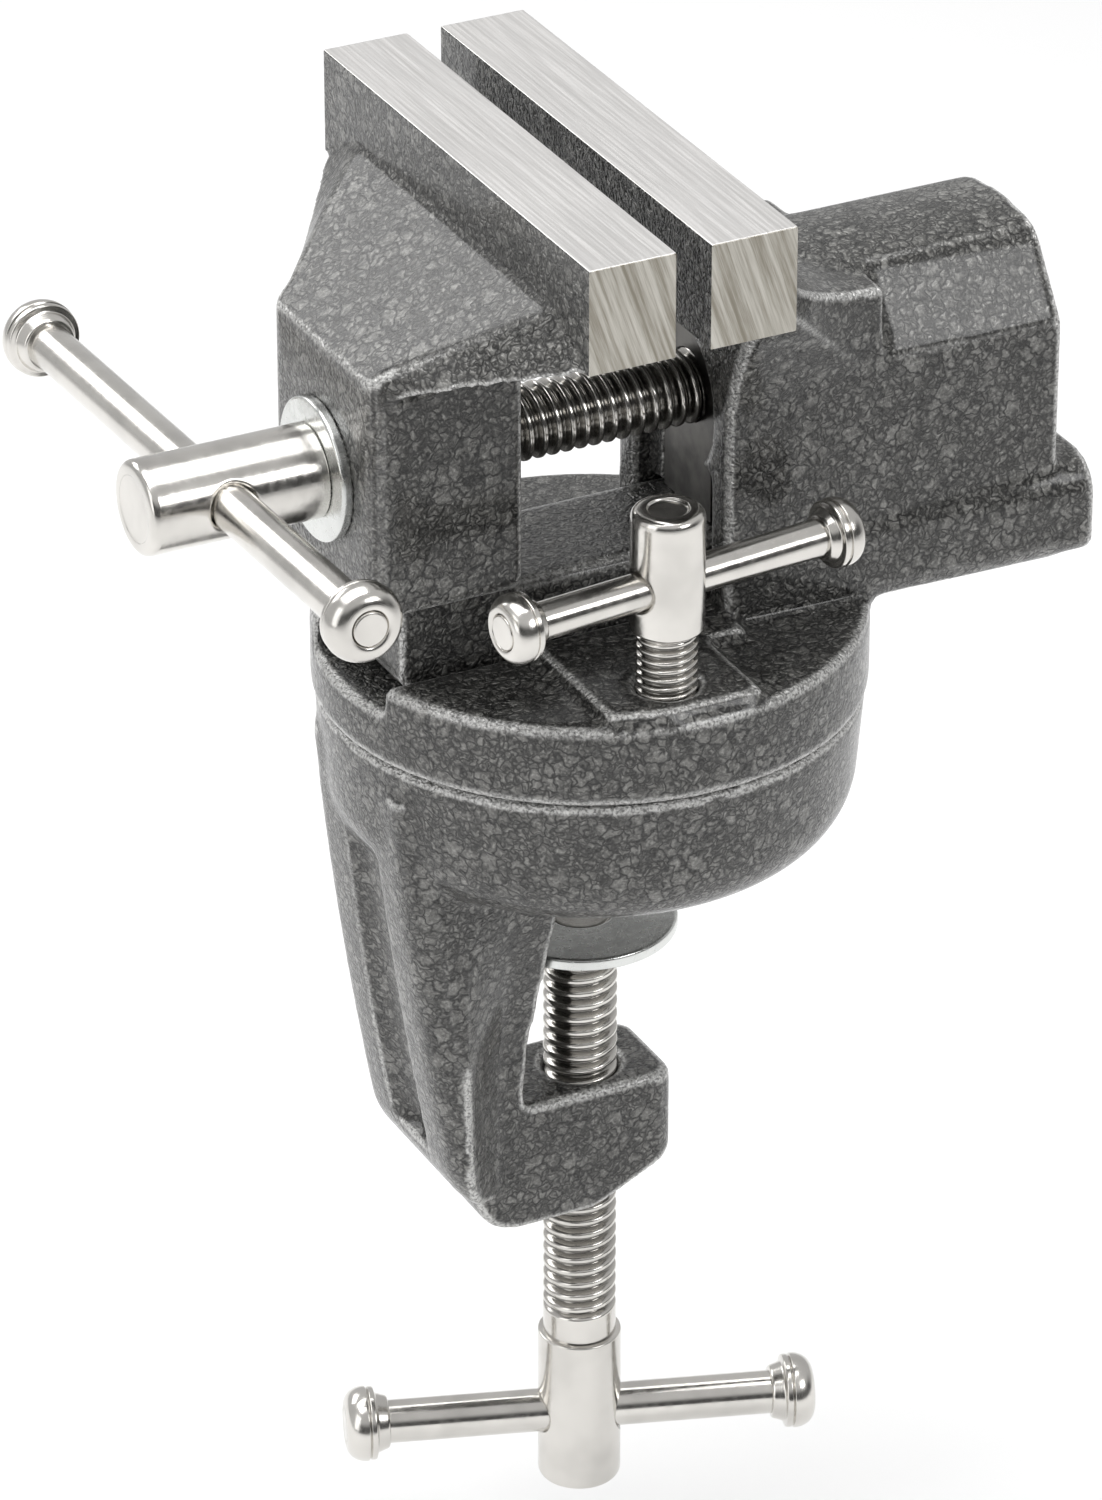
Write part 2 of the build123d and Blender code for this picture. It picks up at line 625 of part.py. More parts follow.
def make_clamp_screw():
    """The clamp screw: drilled hub, collar, thread, and a neck riveted over in the pad."""
    hub = rod((clamp_x, 0, clamp_hub_bottom), (0, 0, 1), clamp_hub_diameter / 2,
              clamp_hub_top - clamp_hub_bottom)
    hub = fillet(rims_near(hub, (clamp_x, 0, clamp_hub_bottom)), clamp_hub_edge)
    hub = chamfer(rims_near(hub, (clamp_x, 0, clamp_hub_top)), (clamp_hub_diameter - clamp_diameter) / 2)
    thread = rod((clamp_x, 0, clamp_hub_top), (0, 0, 1), clamp_radius, clamp_thread_top - clamp_hub_top)
    thread = chamfer(rims_near(thread, (clamp_x, 0, clamp_thread_top)), tip_chamfer)
    sink_floor = pad_top - pad_sink_depth
    neck = rod((clamp_x, 0, clamp_thread_top), (0, 0, 1), clamp_neck_radius,
               sink_floor + face_gap - clamp_thread_top)
    rivet = rod((clamp_x, 0, sink_floor + face_gap), (0, 0, 1), clamp_rivet_radius, clamp_rivet_height)
    rivet = fillet(rims_near(rivet, (clamp_x, 0, pad_top)), clamp_rivet_edge)
    cross_hole = Plane((clamp_x, 0, clamp_bar_height), z_dir=clamp_bar_way) * Cylinder(
        bar_diameter / 2 + run_fit, 2 * clamp_hub_diameter)
    return hub + thread + neck + rivet - cross_hole


def make_clamp_pad():
    """The round pad: a flat flange, a boss below it, and a sink above for the riveted neck."""
    pad = rod((clamp_x, 0, pad_bottom), (0, 0, 1), pad_radius, pad_thickness)
    pad = fillet(rims_near(pad, (clamp_x, 0, pad_top)), pad_edge)
    pad += rod((clamp_x, 0, pad_bottom - pad_boss_height), (0, 0, 1), pad_boss_radius, pad_boss_height)
    pad -= rod((clamp_x, 0, clamp_thread_top - over), (0, 0, 1), clamp_neck_radius + run_fit, jaw_top)
    return pad - rod((clamp_x, 0, pad_top - pad_sink_depth), (0, 0, 1), pad_sink_radius, jaw_top)


# Swivel bolt and washer ------------------------------------------------------------------------------


def make_swivel_bolt():
    """The low-headed socket screw under the slide bar, on which the disc turns."""
    head_bottom = bolt_seat + disc_spring_thickness + face_gap
    head = rod((0, 0, head_bottom), (0, 0, 1), bolt_head_diameter / 2, bolt_head_height)
    head = fillet(rims_near(head, (0, 0, head_bottom + bolt_head_height)), bolt_head_edge)
    head -= Pos(0, 0, head_bottom + bolt_head_height - bolt_socket_depth) * extrude(
        RegularPolygon(bolt_socket / 2, 6, major_radius=False), bolt_head_height)
    bottom = disc_bottom - bolt_engagement
    return head + rod((0, 0, bottom), (0, 0, 1), bolt_diameter / 2, head_bottom - bottom)


def make_swivel_washer():
    """The spring washer between the bolt's head and the disc."""
    return tube((0, 0, bolt_seat), (0, 0, 1), disc_spring_outer / 2, bolt_diameter / 2 + run_fit,
                disc_spring_thickness)


# Everything ------------------------------------------------------------------------------------------

main_bar_way = (0, cos(radians(main_bar_tilt)), sin(radians(main_bar_tilt)))
lock_bar_way = (cos(radians(lock_bar_turn)), sin(radians(lock_bar_turn)), 0)
clamp_bar_way = (cos(radians(clamp_bar_turn)), sin(radians(clamp_bar_turn)), 0)

nodes = {
    "clamp_frame": make_clamp_frame(),
    "fixed_jaw_body": make_fixed_jaw_body(),
    "main_nut": make_main_nut(),
    "nut_grub_screw": make_grub_screw(),
    "moving_jaw": make_moving_jaw(),
    "main_screw": make_main_screw(),
    "thrust_washer": tube((washer_front, 0, screw_height), (1, 0, 0), washer_outer / 2,
                          screw_radius + run_fit, washer_thickness),
    "retaining_ring": make_retaining_ring(),
    "lock_screw": make_lock_screw(),
    "clamp_screw": make_clamp_screw(),
    "clamp_pad": make_clamp_pad(),
    "swivel_bolt": make_swivel_bolt(),
    "swivel_washer": make_swivel_washer(),
}
main_handle = handle((main_bar_x, 0, screw_height), main_bar_way, main_bar_slid, main_bar_length,
                     bar_diameter / 2, knob_diameter / 2, knob_thickness)
lock_handle = handle((lock_x, lock_y, lock_bar_height), lock_bar_way, lock_bar_slid, lock_bar_length,
                     lock_bar_diameter / 2, lock_knob_diameter / 2, lock_knob_thickness)
clamp_handle = handle((clamp_x, 0, clamp_bar_height), clamp_bar_way, 0, clamp_bar_length,
                      bar_diameter / 2, knob_diameter / 2, knob_thickness)
nodes["main_bar"], nodes["main_knob_near"], nodes["main_knob_far"] = main_handle
nodes["lock_bar"], nodes["lock_knob_left"], nodes["lock_knob_right"] = lock_handle
nodes["clamp_bar"], nodes["clamp_knob_left"], nodes["clamp_knob_right"] = clamp_handle

os.makedirs("parts", exist_ok=True)
for name, solid in nodes.items():
    export_step(solid, "parts/" + name + ".step")
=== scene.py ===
"""Looks of a small clamp-on bench vise: painted castings, ground jaws, plated screws and handles.

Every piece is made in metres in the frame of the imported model: X along the main screw, Y across the
jaws, Z up, with the seat of the clamp at the origin.
"""

import json

import bmesh
import bpy
import numpy as np
from mathutils import Matrix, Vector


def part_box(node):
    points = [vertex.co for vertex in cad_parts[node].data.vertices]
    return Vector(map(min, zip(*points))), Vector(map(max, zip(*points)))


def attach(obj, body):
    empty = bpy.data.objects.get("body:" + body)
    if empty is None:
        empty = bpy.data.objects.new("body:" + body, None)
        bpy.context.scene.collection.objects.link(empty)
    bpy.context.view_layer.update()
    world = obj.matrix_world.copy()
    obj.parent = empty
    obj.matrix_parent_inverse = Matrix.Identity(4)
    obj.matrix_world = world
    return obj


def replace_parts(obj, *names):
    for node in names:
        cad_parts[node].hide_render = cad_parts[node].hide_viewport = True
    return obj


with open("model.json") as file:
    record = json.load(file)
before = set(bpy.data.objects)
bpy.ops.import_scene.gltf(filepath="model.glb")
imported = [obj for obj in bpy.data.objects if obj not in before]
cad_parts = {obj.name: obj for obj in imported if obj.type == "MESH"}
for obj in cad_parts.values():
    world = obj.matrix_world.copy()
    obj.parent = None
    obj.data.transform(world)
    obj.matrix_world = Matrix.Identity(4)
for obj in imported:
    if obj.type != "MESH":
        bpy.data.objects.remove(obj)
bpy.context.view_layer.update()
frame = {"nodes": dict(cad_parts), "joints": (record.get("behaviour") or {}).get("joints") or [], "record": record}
mm = 0.001

# Clamp casting ---------------------------------------------------------------------------------------
# The round base, the grooved arm and the lug are one iron casting. It is sprayed with grey hammertone
# enamel, which draws together into small glossy cells with dark lines between them.

enamel_deep = (0.078, 0.0765, 0.071, 1)
enamel_light = (0.20, 0.197, 0.186, 1)
enamel_bright = (0.40, 0.395, 0.375, 1)
enamel_line = (0.012, 0.0117, 0.011, 1)
# The pale colour of raised edges: partly rubbed wear, partly painted highlight.
rubbed_edge_and_highlight = (0.72, 0.715, 0.70, 1)
wide_cells, narrow_cells = 460.0, 900.0
patch_scale, speck_scale, drift_scale = 240.0, 2600.0, 800.0
drift_reach = 2.1 * mm
dome_height = 0.28 * mm
casting_grid = 0.6 * mm


def feed(made, inputs):
    """Links sockets to a shader node's inputs, and sets the inputs that are given as plain values."""
    for key, value in inputs.items():
        if isinstance(value, bpy.types.NodeSocket):
            made.id_data.links.new(value, made.inputs[key])
        else:
            made.inputs[key].default_value = value


def node(nodes, kind, inputs=None, **settings):
    """Adds a shader node, sets its properties and feeds its inputs."""
    made = nodes.new(kind)
    for key, value in settings.items():
        setattr(made, key, value)
    feed(made, inputs or {})
    return made


def new_material(name):
    """A new material, its nodes and its Principled shader."""
    material = bpy.data.materials.new(name)
    material.use_nodes = True
    nodes = material.node_tree.nodes
    return material, nodes, nodes["Principled BSDF"]


def noise(nodes, place, scale, detail):
    """The height of a noise, whose scale is in waves to the metre."""
    return node(nodes, "ShaderNodeTexNoise", {"Vector": place, "Scale": scale, "Detail": detail}).outputs[0]


def bump(nodes, height, strength, distance):
    """The normal of a surface that a height moves by up to a distance in metres."""
    return node(nodes, "ShaderNodeBump", {"Height": height, "Strength": strength,
                                          "Distance": distance}).outputs["Normal"]


def band(nodes, value, low, high, to_low=0.0, to_high=1.0):
    """A smooth step of a value from one range to another."""
    return node(nodes, "ShaderNodeMapRange", {"Value": value, "From Min": low, "From Max": high,
                                              "To Min": to_low, "To Max": to_high},
                interpolation_type="SMOOTHSTEP").outputs["Result"]


def blend(nodes, share, first, second):
    """A colour between two colours."""
    return node(nodes, "ShaderNodeMix", {0: share, 6: first, 7: second}, data_type="RGBA").outputs[2]


def combine(nodes, operation, first, second):
    """Two numbers joined by one operation of arithmetic."""
    return node(nodes, "ShaderNodeMath", {0: first, 1: second}, operation=operation).outputs[0]


def stored(nodes, name):
    """A number that the mesh keeps for each of its points."""
    return node(nodes, "ShaderNodeAttribute", attribute_name=name).outputs["Fac"]


def enamel_look(nodes):
    """The colour and height of hammertone enamel, as sockets of one material.

    Voronoi cells of two sizes, about 2 and 1 mm across, are bent by noise until they look round. Thin
    dark lines follow the borders of both, each in its own patches. Every cell is domed, with a tone of
    its own, and fine grain lies over all of it. Raised edges are painted pale in places: partly rubbed
    wear, partly a painted highlight that stands in for the glint of light on rounded edges.
    """
    place = node(nodes, "ShaderNodeTexCoord").outputs["Object"]
    drift = node(nodes, "ShaderNodeTexNoise", {"Vector": place, "Scale": drift_scale, "Detail": 1.0})
    bent = node(nodes, "ShaderNodeVectorMath",
                {0: drift.outputs["Color"], 1: (drift_reach,) * 3, 2: place},
                operation="MULTIPLY_ADD").outputs[0]
    patches = noise(nodes, place, patch_scale, 3.0)
    speck = noise(nodes, place, speck_scale, 3.0)
    wide, narrow = (node(nodes, "ShaderNodeTexVoronoi", {"Vector": bent, "Scale": scale},
                         feature="DISTANCE_TO_EDGE").outputs["Distance"]
                    for scale in (wide_cells, narrow_cells))
    cell = node(nodes, "ShaderNodeTexVoronoi", {"Vector": bent, "Scale": narrow_cells}, feature="F1")
    tone = node(nodes, "ShaderNodeSeparateColor", {"Color": cell.outputs["Color"]}).outputs["Red"]
    wide_line = combine(nodes, "MULTIPLY", band(nodes, wide, 0.0, 0.17, 1.0, 0.0),
                        band(nodes, patches, 0.34, 0.52))
    narrow_line = combine(nodes, "MULTIPLY", band(nodes, narrow, 0.0, 0.27, 0.95, 0.0),
                          band(nodes, patches, 0.64, 0.44))
    line = combine(nodes, "MAXIMUM", wide_line, narrow_line)
    colour = blend(nodes, tone, enamel_deep, enamel_light)
    colour = blend(nodes, band(nodes, speck, 0.45, 0.70, 0.0, 0.5), colour, enamel_bright)
    colour = blend(nodes, line, colour, enamel_line)
    # Raised edges turn pale: partly rubbed wear, partly a painted highlight for the glint on rounded edges.
    edge_wear_and_highlight = combine(nodes, "MULTIPLY", band(nodes, stored(nodes, "edge"), 0.07, 0.30),
                   band(nodes, speck, 0.34, 0.58, 0.3, 1.0))
    colour = blend(nodes, combine(nodes, "MULTIPLY", edge_wear_and_highlight, 0.85), colour, rubbed_edge_and_highlight)
    dome = combine(nodes, "ADD", band(nodes, wide, 0.0, 0.30, 0.0, 0.5),
                   band(nodes, narrow, 0.0, 0.36, 0.0, 0.8))
    grained = combine(nodes, "ADD", dome, combine(nodes, "MULTIPLY", speck, 0.7))
    return colour, bump(nodes, grained, 0.9, dome_height)


def hammertone_enamel():
    """The painted finish of all the castings: a metal-flake grey under a glossy coat."""
    material, nodes, shader = new_material("hammertone_enamel")
    colour, height = enamel_look(nodes)
    feed(shader, {"Base Color": colour, "Normal": height, "Metallic": 0.45, "Roughness": 0.36,
                  "Coat Weight": 0.55, "Coat Roughness": 0.14})
    return material


enamel = hammertone_enamel()


def add(name, data):
    """A new object at the origin that holds a mesh, a lamp or a camera."""
    piece = bpy.data.objects.new(name, data)
    bpy.context.scene.collection.objects.link(piece)
    return piece


def finish(piece, material, body, slot=None, *nodes):
    """Gives a piece its material, smooth shading, body and the CAD nodes it stands for. The slot is not used."""
    if not piece.data.materials:
        piece.data.materials.append(material)
    piece.data.polygons.foreach_set("use_smooth", np.ones(len(piece.data.polygons), bool))
    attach(piece, body)
    if nodes:
        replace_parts(piece, *nodes)
    return piece


def mesh_points(mesh, collection="vertices", key="co"):
    """One three-number property of a mesh's elements as an array."""
    items = getattr(mesh, collection)
    values = np.zeros(3 * len(items))
    items.foreach_get(key, values)
    return values.reshape(-1, 3)


def keep_value(piece, name, values):
    """Keeps one number for each point of a piece, for its material to read."""
    attribute = piece.data.attributes.new(name, "FLOAT", "POINT")
    attribute.data.foreach_set("value", values.astype(np.float32))


def cast_skin(name, cad_node, grid, passes):
    """A casting's skin: the CAD solid's surface laid on an even grid, then relaxed.

    Each pass moves every point half way to the mean of its neighbours, so sharp corners turn into cast
    rounds and inner corners into fillets. How far a point sank below the first surface is kept as its
    edge value, in grid steps.
    """
    piece = add(name, frame["nodes"][cad_node].data.copy())
    shape = bmesh.new()
    shape.from_mesh(piece.data)
    bmesh.ops.remove_doubles(shape, verts=shape.verts, dist=0.001 * mm)
    shape.to_mesh(piece.data)
    shape.free()
    remesh = piece.modifiers.new("grid", "REMESH")
    remesh.mode = "VOXEL"
    remesh.voxel_size = grid
    bpy.context.view_layer.update()
    mesh = bpy.data.meshes.new_from_object(piece.evaluated_get(bpy.context.evaluated_depsgraph_get()))
    piece.modifiers.clear()
    mesh.materials.clear()
    piece.data = mesh
    first = mesh_points(mesh)
    ends = np.zeros(2 * len(mesh.edges), np.int64)
    mesh.edges.foreach_get("vertices", ends)
    ends = ends.reshape(-1, 2)
    near = np.concatenate([ends, ends[:, ::-1]])
    count = np.bincount(near[:, 0], minlength=len(first))[:, None]
    points = first.copy()
    for _ in range(passes):
        total = np.stack([np.bincount(near[:, 0], points[near[:, 1], axis], len(first))
                          for axis in range(3)], 1)
        points += 0.5 * (total / count - points)
    mesh.vertices.foreach_set("co", points.ravel())
    mesh.update()
    sunk = np.sum((first - points) * mesh_points(mesh, "vertex_normals", "vector"), 1)
    keep_value(piece, "edge", sunk / grid)
    return piece


clamp_casting = cast_skin("clamp_casting", "clamp_frame", casting_grid, 8)
finish(clamp_casting, enamel, "clamp_base", "hammertone", "clamp_frame")

# Swivel casting --------------------------------------------------------------------------------------
# The disc, the body with its rails and the fixed jaw are cast in one and painted like the clamp. Round
# the jaw's block the paint lies half a millimetre deep, under the ground steel that is made below.

swivel_grid = 0.62 * mm
jaw_half, jaw_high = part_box("fixed_jaw_body")[1].yz
jaw_low = jaw_high - 14.2 * mm
jaw_thickness = 12 * mm
faces = {mount["name"]: mount["pos_m"][0] for mount in frame["record"]["mounts"]}
fixed_jaw_front, moving_jaw_front = faces["fixed_jaw_face"], faces["moving_jaw_face"]
fixed_jaw_back, moving_jaw_back = fixed_jaw_front + jaw_thickness, moving_jaw_front - jaw_thickness
jaw_inset = 0.5 * mm
jaw_reach = 0.1 * mm


def sink_block(piece, low_x, high_x):
    """Draws the skin of a jaw's block inwards, so that the ground block covers it."""
    points = mesh_points(piece.data)
    low = np.array([low_x, -jaw_half, jaw_low]) - jaw_reach
    high = np.array([high_x, jaw_half, jaw_high]) + jaw_reach
    inside = np.all((points > low) & (points < high), 1)
    drawn = np.clip(points, low + jaw_inset, high - jaw_inset)
    piece.data.vertices.foreach_set("co", np.where(inside[:, None], drawn, points).ravel())
    piece.data.update()


swivel_casting = cast_skin("swivel_casting", "fixed_jaw_body", swivel_grid, 7)
sink_block(swivel_casting, fixed_jaw_front, fixed_jaw_back)
finish(swivel_casting, enamel, "swivel_body", "hammertone", "fixed_jaw_body")

# Moving casting --------------------------------------------------------------------------------------
# The moving jaw, its hood, the column round the screw and the slide bar are one painted casting. The bar
# slides in the rail of the swivel casting.

moving_casting = cast_skin("moving_casting", "moving_jaw", casting_grid, 7)
sink_block(moving_casting, moving_jaw_back, moving_jaw_front)
finish(moving_casting, enamel, "jaw_slide", "hammertone", "moving_jaw")

# Ground jaws -----------------------------------------------------------------------------------------
# The top and both ends of each jaw are ground bare after painting. The top is ground along the jaw, the
# ends on a coarser wheel aslant, and the gripping face and the back keep their paint.

# The one ground steel is coloured lighter on the top and darker on the ends: painted light on the top and painted
# shade on the ends, over the real difference of their grinding.
lit_top_light, lit_top_dark = (0.92, 0.905, 0.89, 1), (0.82, 0.805, 0.785, 1)
shaded_end_light, shaded_end_dark = (0.60, 0.58, 0.53, 1), (0.24, 0.22, 0.18, 1)
top_stretch, end_stretch = (2600, 45, 2600), (1500, 1500, 60)
end_slant = np.radians(19)
scratch_depth = 0.05 * mm


def skin(name, grid, ring=False):
    """A mesh from an array of points (stations, points round, 3).

    Each station's loop joins the next one's. The end loops are closed by one flat face each, or for a
    ring the last loop joins the first.
    """
    stations, around = grid.shape[:2]
    index = np.arange(stations * around).reshape(stations, around)
    here = index if ring else index[:-1]
    there = np.roll(index, -1, 0) if ring else index[1:]
    quads = np.stack([here, np.roll(here, -1, 1), np.roll(there, -1, 1), there], -1).reshape(-1, 4)
    loops = quads.tolist()
    if not ring:
        loops += [index[0][::-1].tolist(), index[-1].tolist()]
    mesh = bpy.data.meshes.new(name)
    mesh.from_pydata(grid.reshape(-1, 3).tolist(), [], loops)
    shape = bmesh.new()
    shape.from_mesh(mesh)
    bmesh.ops.recalc_face_normals(shape, faces=shape.faces)
    shape.to_mesh(mesh)
    shape.free()
    return add(name, mesh)


def rounded_line(corners, steps=5, support=0.04 * mm):
    """Points (along, out) of a line whose corners are rounded.

    corners has rows of (along, out, round). A corner is replaced by a parabola that starts and ends the
    length of its round away, with a point just outside each of its ends to keep the straights flat.
    """
    corners = np.array(corners, float)
    share = np.linspace(0, 1, steps)[:, None]
    rows = [corners[:1, :2]]
    for before, corner, after in zip(corners[:-2], corners[1:-1], corners[2:]):
        middle, size = corner[:2], corner[2]
        if size == 0:
            rows.append(middle[None])
            continue
        back, ahead = before[:2] - middle, after[:2] - middle
        back, ahead = back / np.linalg.norm(back), ahead / np.linalg.norm(ahead)
        start, end = middle + back * size, middle + ahead * size
        arc = (1 - share) ** 2 * start + 2 * share * (1 - share) * middle + share ** 2 * end
        rows += [start[None] + back * support, arc, end[None] + ahead * support]
    rows.append(corners[-1:, :2])
    return np.concatenate(rows)


def ground_steel(name, stretch, slant, light, dark, contrast):
    """Bare ground steel: fine scratches, stretched along one direction, in tone, height and gloss."""
    material, nodes, shader = new_material(name)
    place = node(nodes, "ShaderNodeTexCoord").outputs["Object"]
    slanted = node(nodes, "ShaderNodeMapping", {"Vector": place, "Rotation": (0, slant, 0)}).outputs[0]
    along = node(nodes, "ShaderNodeMapping", {"Vector": slanted, "Scale": stretch}).outputs[0]
    fine = node(nodes, "ShaderNodeTexNoise", {"Vector": along, "Scale": 1.0, "Detail": 4.0,
                                              "Roughness": 0.7}).outputs[0]
    broad = noise(nodes, along, 0.3, 2.0)
    tone = combine(nodes, "ADD", combine(nodes, "MULTIPLY", fine, 0.65),
                   combine(nodes, "MULTIPLY", broad, 0.35))
    feed(shader, {"Base Color": blend(nodes, band(nodes, tone, 0.5 - contrast, 0.5 + contrast), dark, light),
                  "Roughness": band(nodes, fine, 0.3, 0.7, 0.30, 0.46),
                  "Normal": bump(nodes, fine, 0.25, scratch_depth), "Metallic": 1.0})
    return material


# Lit and shaded copies of one ground steel, each with its own grinding direction.
ground_top = ground_steel("ground_top", top_stretch, 0, lit_top_light, lit_top_dark, 0.24)
ground_end = ground_steel("ground_end", end_stretch, end_slant, shaded_end_light, shaded_end_dark, 0.15)


def jaw_block(name, low_x, high_x, body):
    """The steel of one jaw: a small-edged oblong section in X and Z carried along Y, with a fine
    chamfer round each end."""
    edge = 0.22 * mm
    setback = np.array([0, 0.06, 0.26, 0.26, 0.06, 0]) * mm
    shrink = np.array([0.16, 0.03, 0, 0, 0.03, 0.16]) * mm
    middle = np.array([(low_x + high_x) / 2, (jaw_low + jaw_high) / 2])
    half = np.array([(high_x - low_x) / 2, (jaw_high - jaw_low) / 2])
    corners = np.array([[1, 1], [1, -1], [-1, -1], [-1, 1]]) * half
    top = [[0, half[1], 0]]
    section = rounded_line(np.concatenate([top, np.column_stack([corners, np.full(4, edge)]), top]))[:-1]
    flat = middle + section[None] * (1 - shrink[:, None, None] / half)
    where = np.array([-1, -1, -1, 1, 1, 1]) * (jaw_half - setback)
    points = np.stack([flat[..., 0], np.broadcast_to(where[:, None], flat.shape[:2]), flat[..., 1]], -1)
    piece = skin(name, points)
    for material in (enamel, ground_top, ground_end):
        piece.data.materials.append(material)
    normals = mesh_points(piece.data, "polygons", "normal")
    look = np.where(normals[:, 2] > 0.6, 1, np.where(abs(normals[:, 1]) > 0.6, 2, 0))
    piece.data.polygons.foreach_set("material_index", look.astype(np.int32))
    finish(piece, None, body)
    piece.data.polygons.foreach_set("use_smooth", np.abs(normals).max(1) < 0.999)
    return piece


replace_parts(jaw_block("fixed_jaw_steel", fixed_jaw_front, fixed_jaw_back, "swivel_body"), "fixed_jaw_body")
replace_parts(jaw_block("moving_jaw_steel", moving_jaw_back, moving_jaw_front, "jaw_slide"), "moving_jaw")

# Main screw ------------------------------------------------------------------------------------------
# A nickel-plated steel screw: a turned hub with a cross hole for the handle, a plain neck in the
# column, and a 10 mm thread of 2 mm pitch. A zinc-plated washer takes the thrust.

joints = {joint["name"]: joint for joint in frame["joints"]}
main_cross = np.array(joints["screw_turn"]["pos_m"])
main_bar_way = np.array(joints["main_handle_slide"]["axis"])
along_x = np.array([1.0, 0, 0])
main_foot, main_tip = (corner.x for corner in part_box("main_screw"))
main_hub_length, main_hub_radius = 24.4 * mm, 6.25 * mm
main_shank = main_foot + main_hub_length - 0.05 * mm
main_plain_neck = 22.6 * mm
screw_radius, screw_pitch, tip_bevel = 5 * mm, 2 * mm, 1 * mm
bar_hole = 3.2 * mm
washer_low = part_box("thrust_washer")[0].x
washer_radius, washer_bore, washer_thickness = 9.5 * mm, 5.05 * mm, 1.5 * mm
nickel_colour, zinc_colour = (0.70, 0.68, 0.645, 1), (0.70, 0.71, 0.695, 1)
# The painted shade laid into the thread grooves.
groove_painted_shade = (0.10, 0.095, 0.085, 1)


def plated(name, colour, rough, ring_depth):
    """Plated steel as it comes off the lathe: fine rings that follow the piece's turning value, a
    mottled gloss, duller stains, and painted shade that darkens the thread grooves."""
    material, nodes, shader = new_material(name)
    place = node(nodes, "ShaderNodeTexCoord").outputs["Object"]
    rings = node(nodes, "ShaderNodeTexNoise", {"W": stored(nodes, "turning"), "Scale": 9.0, "Detail": 3.0},
                 noise_dimensions="1D").outputs[0]
    mottle = noise(nodes, place, 900.0, 3.0)
    stain = noise(nodes, place, 130.0, 2.0)
    dull = tuple(0.72 * part for part in colour[:3]) + (1,)
    tone = blend(nodes, band(nodes, stain, 0.35, 0.75, 0.0, 0.6), colour, dull)
    # Painted shade: the thread grooves are darkened by their depth below the crest.
    tone = blend(nodes, combine(nodes, "MULTIPLY", stored(nodes, "groove"), 0.75), tone, groove_painted_shade)
    height = combine(nodes, "ADD", combine(nodes, "MULTIPLY", rings, ring_depth),
                     combine(nodes, "MULTIPLY", mottle, 0.5))
    feed(shader, {"Base Color": tone, "Roughness": band(nodes, mottle, 0.3, 0.7, rough * 0.75, rough * 1.35),
                  "Normal": bump(nodes, height, 0.3, 0.04 * mm), "Metallic": 1.0})
    return material


nickel = plated("bright_nickel", nickel_colour, 0.17, 0.5)
zinc = plated("bright_zinc", zinc_colour, 0.22, 0.9)


def on_axis(cross, axis, place):
    """The point of a screw's axis, which runs through cross along X (0) or Z (2), at one place."""
    return np.where(np.arange(3) == axis, place, cross)


def square_ways(way):
    """Two unit directions that are square to a way and to each other."""
    side = np.cross(way, [0, 0, 1] if abs(way[2]) < 0.9 else [1, 0, 0])
    side /= np.linalg.norm(side)
    return side, np.cross(way, side)


def circle_out(way, angle):
    """The direction away from an axis at each angle round it."""
    side, other = square_ways(way)
    return np.cos(angle)[..., None] * side + np.sin(angle)[..., None] * other


def turned(name, start, way, profile, around=96, ring=False, shape_radius=None):
    """A turned piece: a profile of (along, radius) points carried round the axis from start along way.

    shape_radius may change the radius by (along, angle). The distance walked along the profile, in
    millimetres, is kept as the turning value.
    """
    way = way / np.linalg.norm(way)
    angle = np.linspace(0, 2 * np.pi, around, endpoint=False)[None, :]
    along, radius = profile[:, :1], np.broadcast_to(profile[:, 1:], (len(profile), around))
    if shape_radius is not None:
        radius = shape_radius(along, angle, radius)
    piece = skin(name, start + along[..., None] * way + radius[..., None] * circle_out(way, angle), ring)
    walked = np.concatenate([[0], np.cumsum(np.linalg.norm(np.diff(profile, axis=0), axis=1))]) / mm
    keep_value(piece, "turning", np.repeat(walked, around))
    return piece


def drilled(axis_start, way, hole_at, hole_way, hole_radius):
    """A change of radius that sinks the mouths of a cross hole into a turned hub.

    Inside the hole's circle the surface drops into a pit with a steep wall, and a narrow rounded edge
    leads in from outside it.
    """
    edge_width, edge_drop = 0.35 * mm, 0.22 * mm
    wall_width, pit_depth = 0.15 * mm, 1.1 * mm

    def sunk(along, angle, radius):
        points = axis_start + along[..., None] * way + radius[..., None] * circle_out(way, angle) - hole_at
        off = np.linalg.norm(points - (points @ hole_way)[..., None] * hole_way, axis=-1)
        edge = np.clip((hole_radius + edge_width - off) / edge_width, 0, 1)
        pit = np.clip((hole_radius - off) / wall_width, 0, 1)
        return radius - edge_drop * edge ** 2 - pit_depth * pit

    return sunk


def hub_profile(length, radius, edge, dish=0, dish_depth=0, steps=0.22 * mm):
    """The line of a hub from the middle of its free end: a face with or without a dish, a rounded
    edge, and a side cut into short steps for the cross hole's mouths."""
    corners = [(dish_depth, 0.05 * mm, 0)]
    if dish:
        corners += [(dish_depth, dish * 0.9, 0.25 * mm), (0, dish, 0.15 * mm)]
    corners += [(0, radius, edge), (2 * edge, radius, 0)]
    face = rounded_line(corners, 7)
    side = np.arange(2 * edge + steps, length - 0.3 * mm, steps)
    tail = [(length - 0.28 * mm, radius), (length - 0.08 * mm, radius - 0.03 * mm),
            (length, radius - 0.2 * mm)]
    return np.concatenate([face, np.column_stack([side, np.full(len(side), radius)]), tail])


def cross_drilled_hub(name, foot, way, profile, around, cross, bar_way, hole_radius, body, cad_node):
    """A plated hub from its free end, with the mouths of the hole that its bar slides through."""
    mouths = drilled(foot, way, cross, bar_way, hole_radius)
    finish(turned(name, foot, way, profile, around, shape_radius=mouths), nickel, body, "plated", cad_node)


